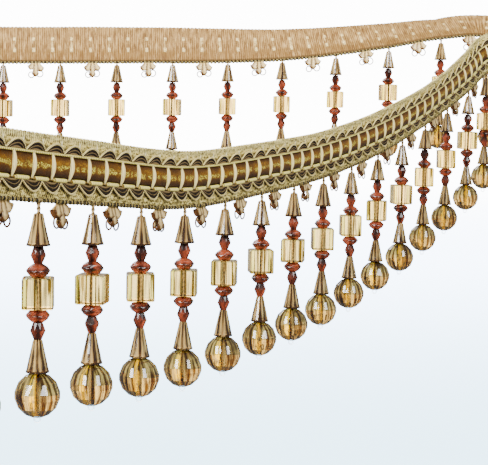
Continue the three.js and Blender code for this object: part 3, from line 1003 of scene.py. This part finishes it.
def thin_rings(centre, first, second, third, radius, section, steps, sides):
    """A ring at each centre: radius * (cosine first + sine second) round a circle. Its thin
    round section lies along the radius and the third direction."""
    circle, turn = full_turn(steps)[:, None], full_turn(sides)
    reach = radius + section * np.cos(turn)
    third_way = section * np.sin(turn) + 0 * circle
    place = np.stack([reach * np.cos(circle), reach * np.sin(circle), third_way], -1)
    axes = np.stack(np.broadcast_arrays(first, second, third), 1)
    return skin(centre[:, None, None] + place @ axes[:, None], circle[:, 0], ring_shut=True)


spoke = spokes(strand_turn)
end_loops = thin_rings(
    strand_top - LOOP_DROP * upright, spoke, -upright, np.cross(upright, spoke), 1.15, 0.3, 16, 6,
)
brown_thread = cord_finish("twisted brown thread", tone(52, 36, 14), tone(176, 146, 92), 2.0)
make_piece("strand_threads", [strand_threads()], brown_thread)
make_piece("end_loops", [end_loops], nylon)

# %% [markdown]
# ## Ribbon tufts
# Between the strands hang tufts of three satin ribbon loops, two short ones spread to the
# sides and a longer one in the middle, their folds painted dark as shade. Two thin bronze
# wire rings hang in each. A loop is a flat ribbon that runs down, round and up again.

# %% Ribbon tufts
TUFTS = STRANDS - 1
TUFT_PHASE = 0.94
ROOT_DROP, ROOT_OUT = 0.6, -1.0
TUFT_LOOPS = [
    # length, fan in degrees, place of the root along the tape, widest half width
    (6.6, -22, -1.9, 2.1),
    (9.9, 0, 0.0, 1.7),
    (6.6, 22, 1.9, 2.1),
]
tuft_along = (np.arange(TUFTS) + TUFT_PHASE) * PITCH


def tuft_axes(fan):
    """Down, sideways and level-out directions of a loop that fans along the tape."""
    tangent, _, _, outward = directions(tuft_along)
    flat = unit(tangent * np.array([1, 1, 0]))
    angle = math.radians(fan)
    down = math.sin(angle) * flat - math.cos(angle) * upright
    side = math.cos(angle) * flat + math.sin(angle) * upright
    return down, side, outward


def ribbon_loops(length, fan, root, half_width, chance):
    """The ribbon goes down and up again by a power of a sine and bows outwards by a sine, as a
    drop shape. Its half width grows from the root to the fold, and its edges drop less than
    its middle, which rounds the fold. The tint darkens the fold as painted shade."""
    t = np.linspace(0, 1, 15)[:, None]
    swell = np.sin(math.pi * t)
    reach = length * chance.uniform(0.82, 1.08, (TUFTS, 1, 1))
    depth = 1.5 * chance.uniform(0.7, 1.2, (TUFTS, 1, 1))
    fall = reach * swell**0.85
    bow = depth * np.sin(2 * math.pi * t) * (0.35 + 0.65 * swell)
    half = 1.0 + half_width * swell**0.9
    place = np.array([-1, -0.6, 0, 0.6, 1, 1, 0.6, 0, -0.6, -1])
    thick = 0.17 * np.repeat([-1.0, 1.0], 5) * np.sign(np.cos(math.pi * t))
    rounded = fall - 0.9 * half * place**2 * swell**3
    down, side, outward = (axis[:, None, None] for axis in tuft_axes(fan))
    points = (
        under_tape(tuft_along + root, ROOT_DROP, ROOT_OUT)[:, None, None]
        + down * rounded[..., None]
        + side * (place * half)[..., None]
        + outward * (bow + thick)[..., None]
    )
    return skin(points, fall[..., 0], None, -0.7 * np.clip((swell - 0.72) / 0.26, 0, 1))


def wire_rings(length, fan, radius):
    """A thin ring hung at a place below the tuft's root, facing outwards."""
    down, side, outward = tuft_axes(fan)
    centre = under_tape(tuft_along, ROOT_DROP, ROOT_OUT) + down * length
    return thin_rings(centre, side, -down, outward, radius, 0.4, 18, 5)


satin = thread_finish("gold satin ribbon", tone(80, 48, 18), tone(246, 214, 142), 3, 0.25)
tuft_chance = np.random.default_rng(5)
tuft_skins = [ribbon_loops(*row, tuft_chance) for row in TUFT_LOOPS]
loop_nodes = [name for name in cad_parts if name.startswith("loop_fringe")]
make_piece("ribbon_tufts", tuft_skins, satin, loop_nodes)
bronze, bronze_shade = start("bronze wire")
bronze_noise = bronze_shade.node("ShaderNodeTexNoise", {"Scale": 900.0})
finish(
    bronze, {"Base Color": bronze_noise.blend(tone(40, 22, 8), tone(104, 66, 34))},
    roughness=0.6, specular_ior_level=0.2,
)
rings = [wire_rings(8.2, -22, 2.3), wire_rings(9.0, 18, 2.0)]
make_piece("wire_rings", rings, bronze)

# %% [markdown]
# ## Floor and backdrop
# A pale round floor that curves up into a wall gives the clear beads something bright to
# bend, from every side. The paper glows by itself, bluish near the camera and white far away,
# like paper lit from behind. It is kept out of the light on the cloth, so that the cloth's
# dark colours stay deep.

# %% Floor and backdrop
FLOOR_PLACE = np.array([0.1, -0.27, -0.32])
FLAT_RADIUS, CURVE_RADIUS, WALL_TOP = 4.2, 0.8, 3.2
FLOOR_SIDES = 64
PAPER_LOW, PAPER_MIDDLE = (0.21, 0.33, 0.41, 1), (0.54, 0.64, 0.80, 1)


def backdrop():
    """Rings round the middle: a flat disc, a quarter circle that curves up, and a wall."""
    curve = np.linspace(0, math.pi / 2, 17)
    reach = FLAT_RADIUS + CURVE_RADIUS * np.sin(curve)
    radius = np.concatenate([[0.6], reach, reach[-1:]])
    height = np.concatenate([[0.0], CURVE_RADIUS * (1 - np.cos(curve)), [WALL_TOP]])
    points = radius[:, None, None] * spokes(full_turn(FLOOR_SIDES))
    part = skin((points + height[:, None, None] * upright + FLOOR_PLACE)[None])
    quads, cap = part["quads"][:, [0, 3, 2, 1]], part["caps"][:1, ::-1]
    faces = quads.tolist() + cap.tolist()
    mesh = bpy.data.meshes.new("floor")
    mesh.from_pydata(part["points"].tolist(), [], faces)
    mesh.shade_smooth()
    return add_object("floor", mesh)


floor = backdrop()
paper, paper_shade = start("pale studio paper")
paper_place = paper_shade.node("ShaderNodeTexCoord", output=3)
paper_split = paper_shade.node("ShaderNodeSeparateXYZ", {0: paper_place}, output=1)
paper_near = paper_split.above(-0.1, 1.5).blend(PAPER_LOW, PAPER_MIDDLE)
paper_far = paper_split.above(1.2, 4.6) + paper_split.out(2).above(-0.3, 0.2)
finish(
    paper, {"Emission Color": paper_far.blend(paper_near, (1, 1, 1, 1))},
    base_color=(0.1, 0.1, 0.1, 1), roughness=1.0, emission_strength=14.0, specular_ior_level=0.0,
)
floor.data.materials.append(paper)
floor.visible_diffuse = False
floor.visible_glossy = False
floor.visible_shadow = False

# %% [markdown]
# ## Lights
# A lamp on the left lights the inside of the loop, where the plain reverse shows, and one in
# front on the right lights the decorated face. A large weak one lights the trim from behind.

# %% Lights
AIM = np.array([0.05, -0.25, -0.08])
LAMPS = {
    # place, size in metres, power in watts
    "inside": ((-0.95, -1.35, 0.5), 0.7, 90),
    "face": ((0.75, -1.6, 0.75), 0.6, 35),
    "back": ((-0.6, 2.2, 1.6), 1.4, 60),
}
for name, (place, size, power) in LAMPS.items():
    lamp = bpy.data.lights.new(name, "AREA")
    lamp.size = size
    lamp.energy = power
    away = unit(np.array(place) - AIM)
    flat = unit(np.cross(upright, away))
    aim(add_object(name, lamp), flat, np.cross(away, flat), away, place)
    print(f"{name} lamp: {power} W")

world = bpy.data.worlds.new("studio")
world.use_nodes = True
background = world.node_tree.nodes["Background"]
background.inputs["Color"].default_value = (1, 1, 1, 1)
background.inputs["Strength"].default_value = 0.45
bpy.context.scene.world = world

# %% [markdown]
# ## Last steps
# The tape's length in metres.

# %% Finish
LENGTH * MM
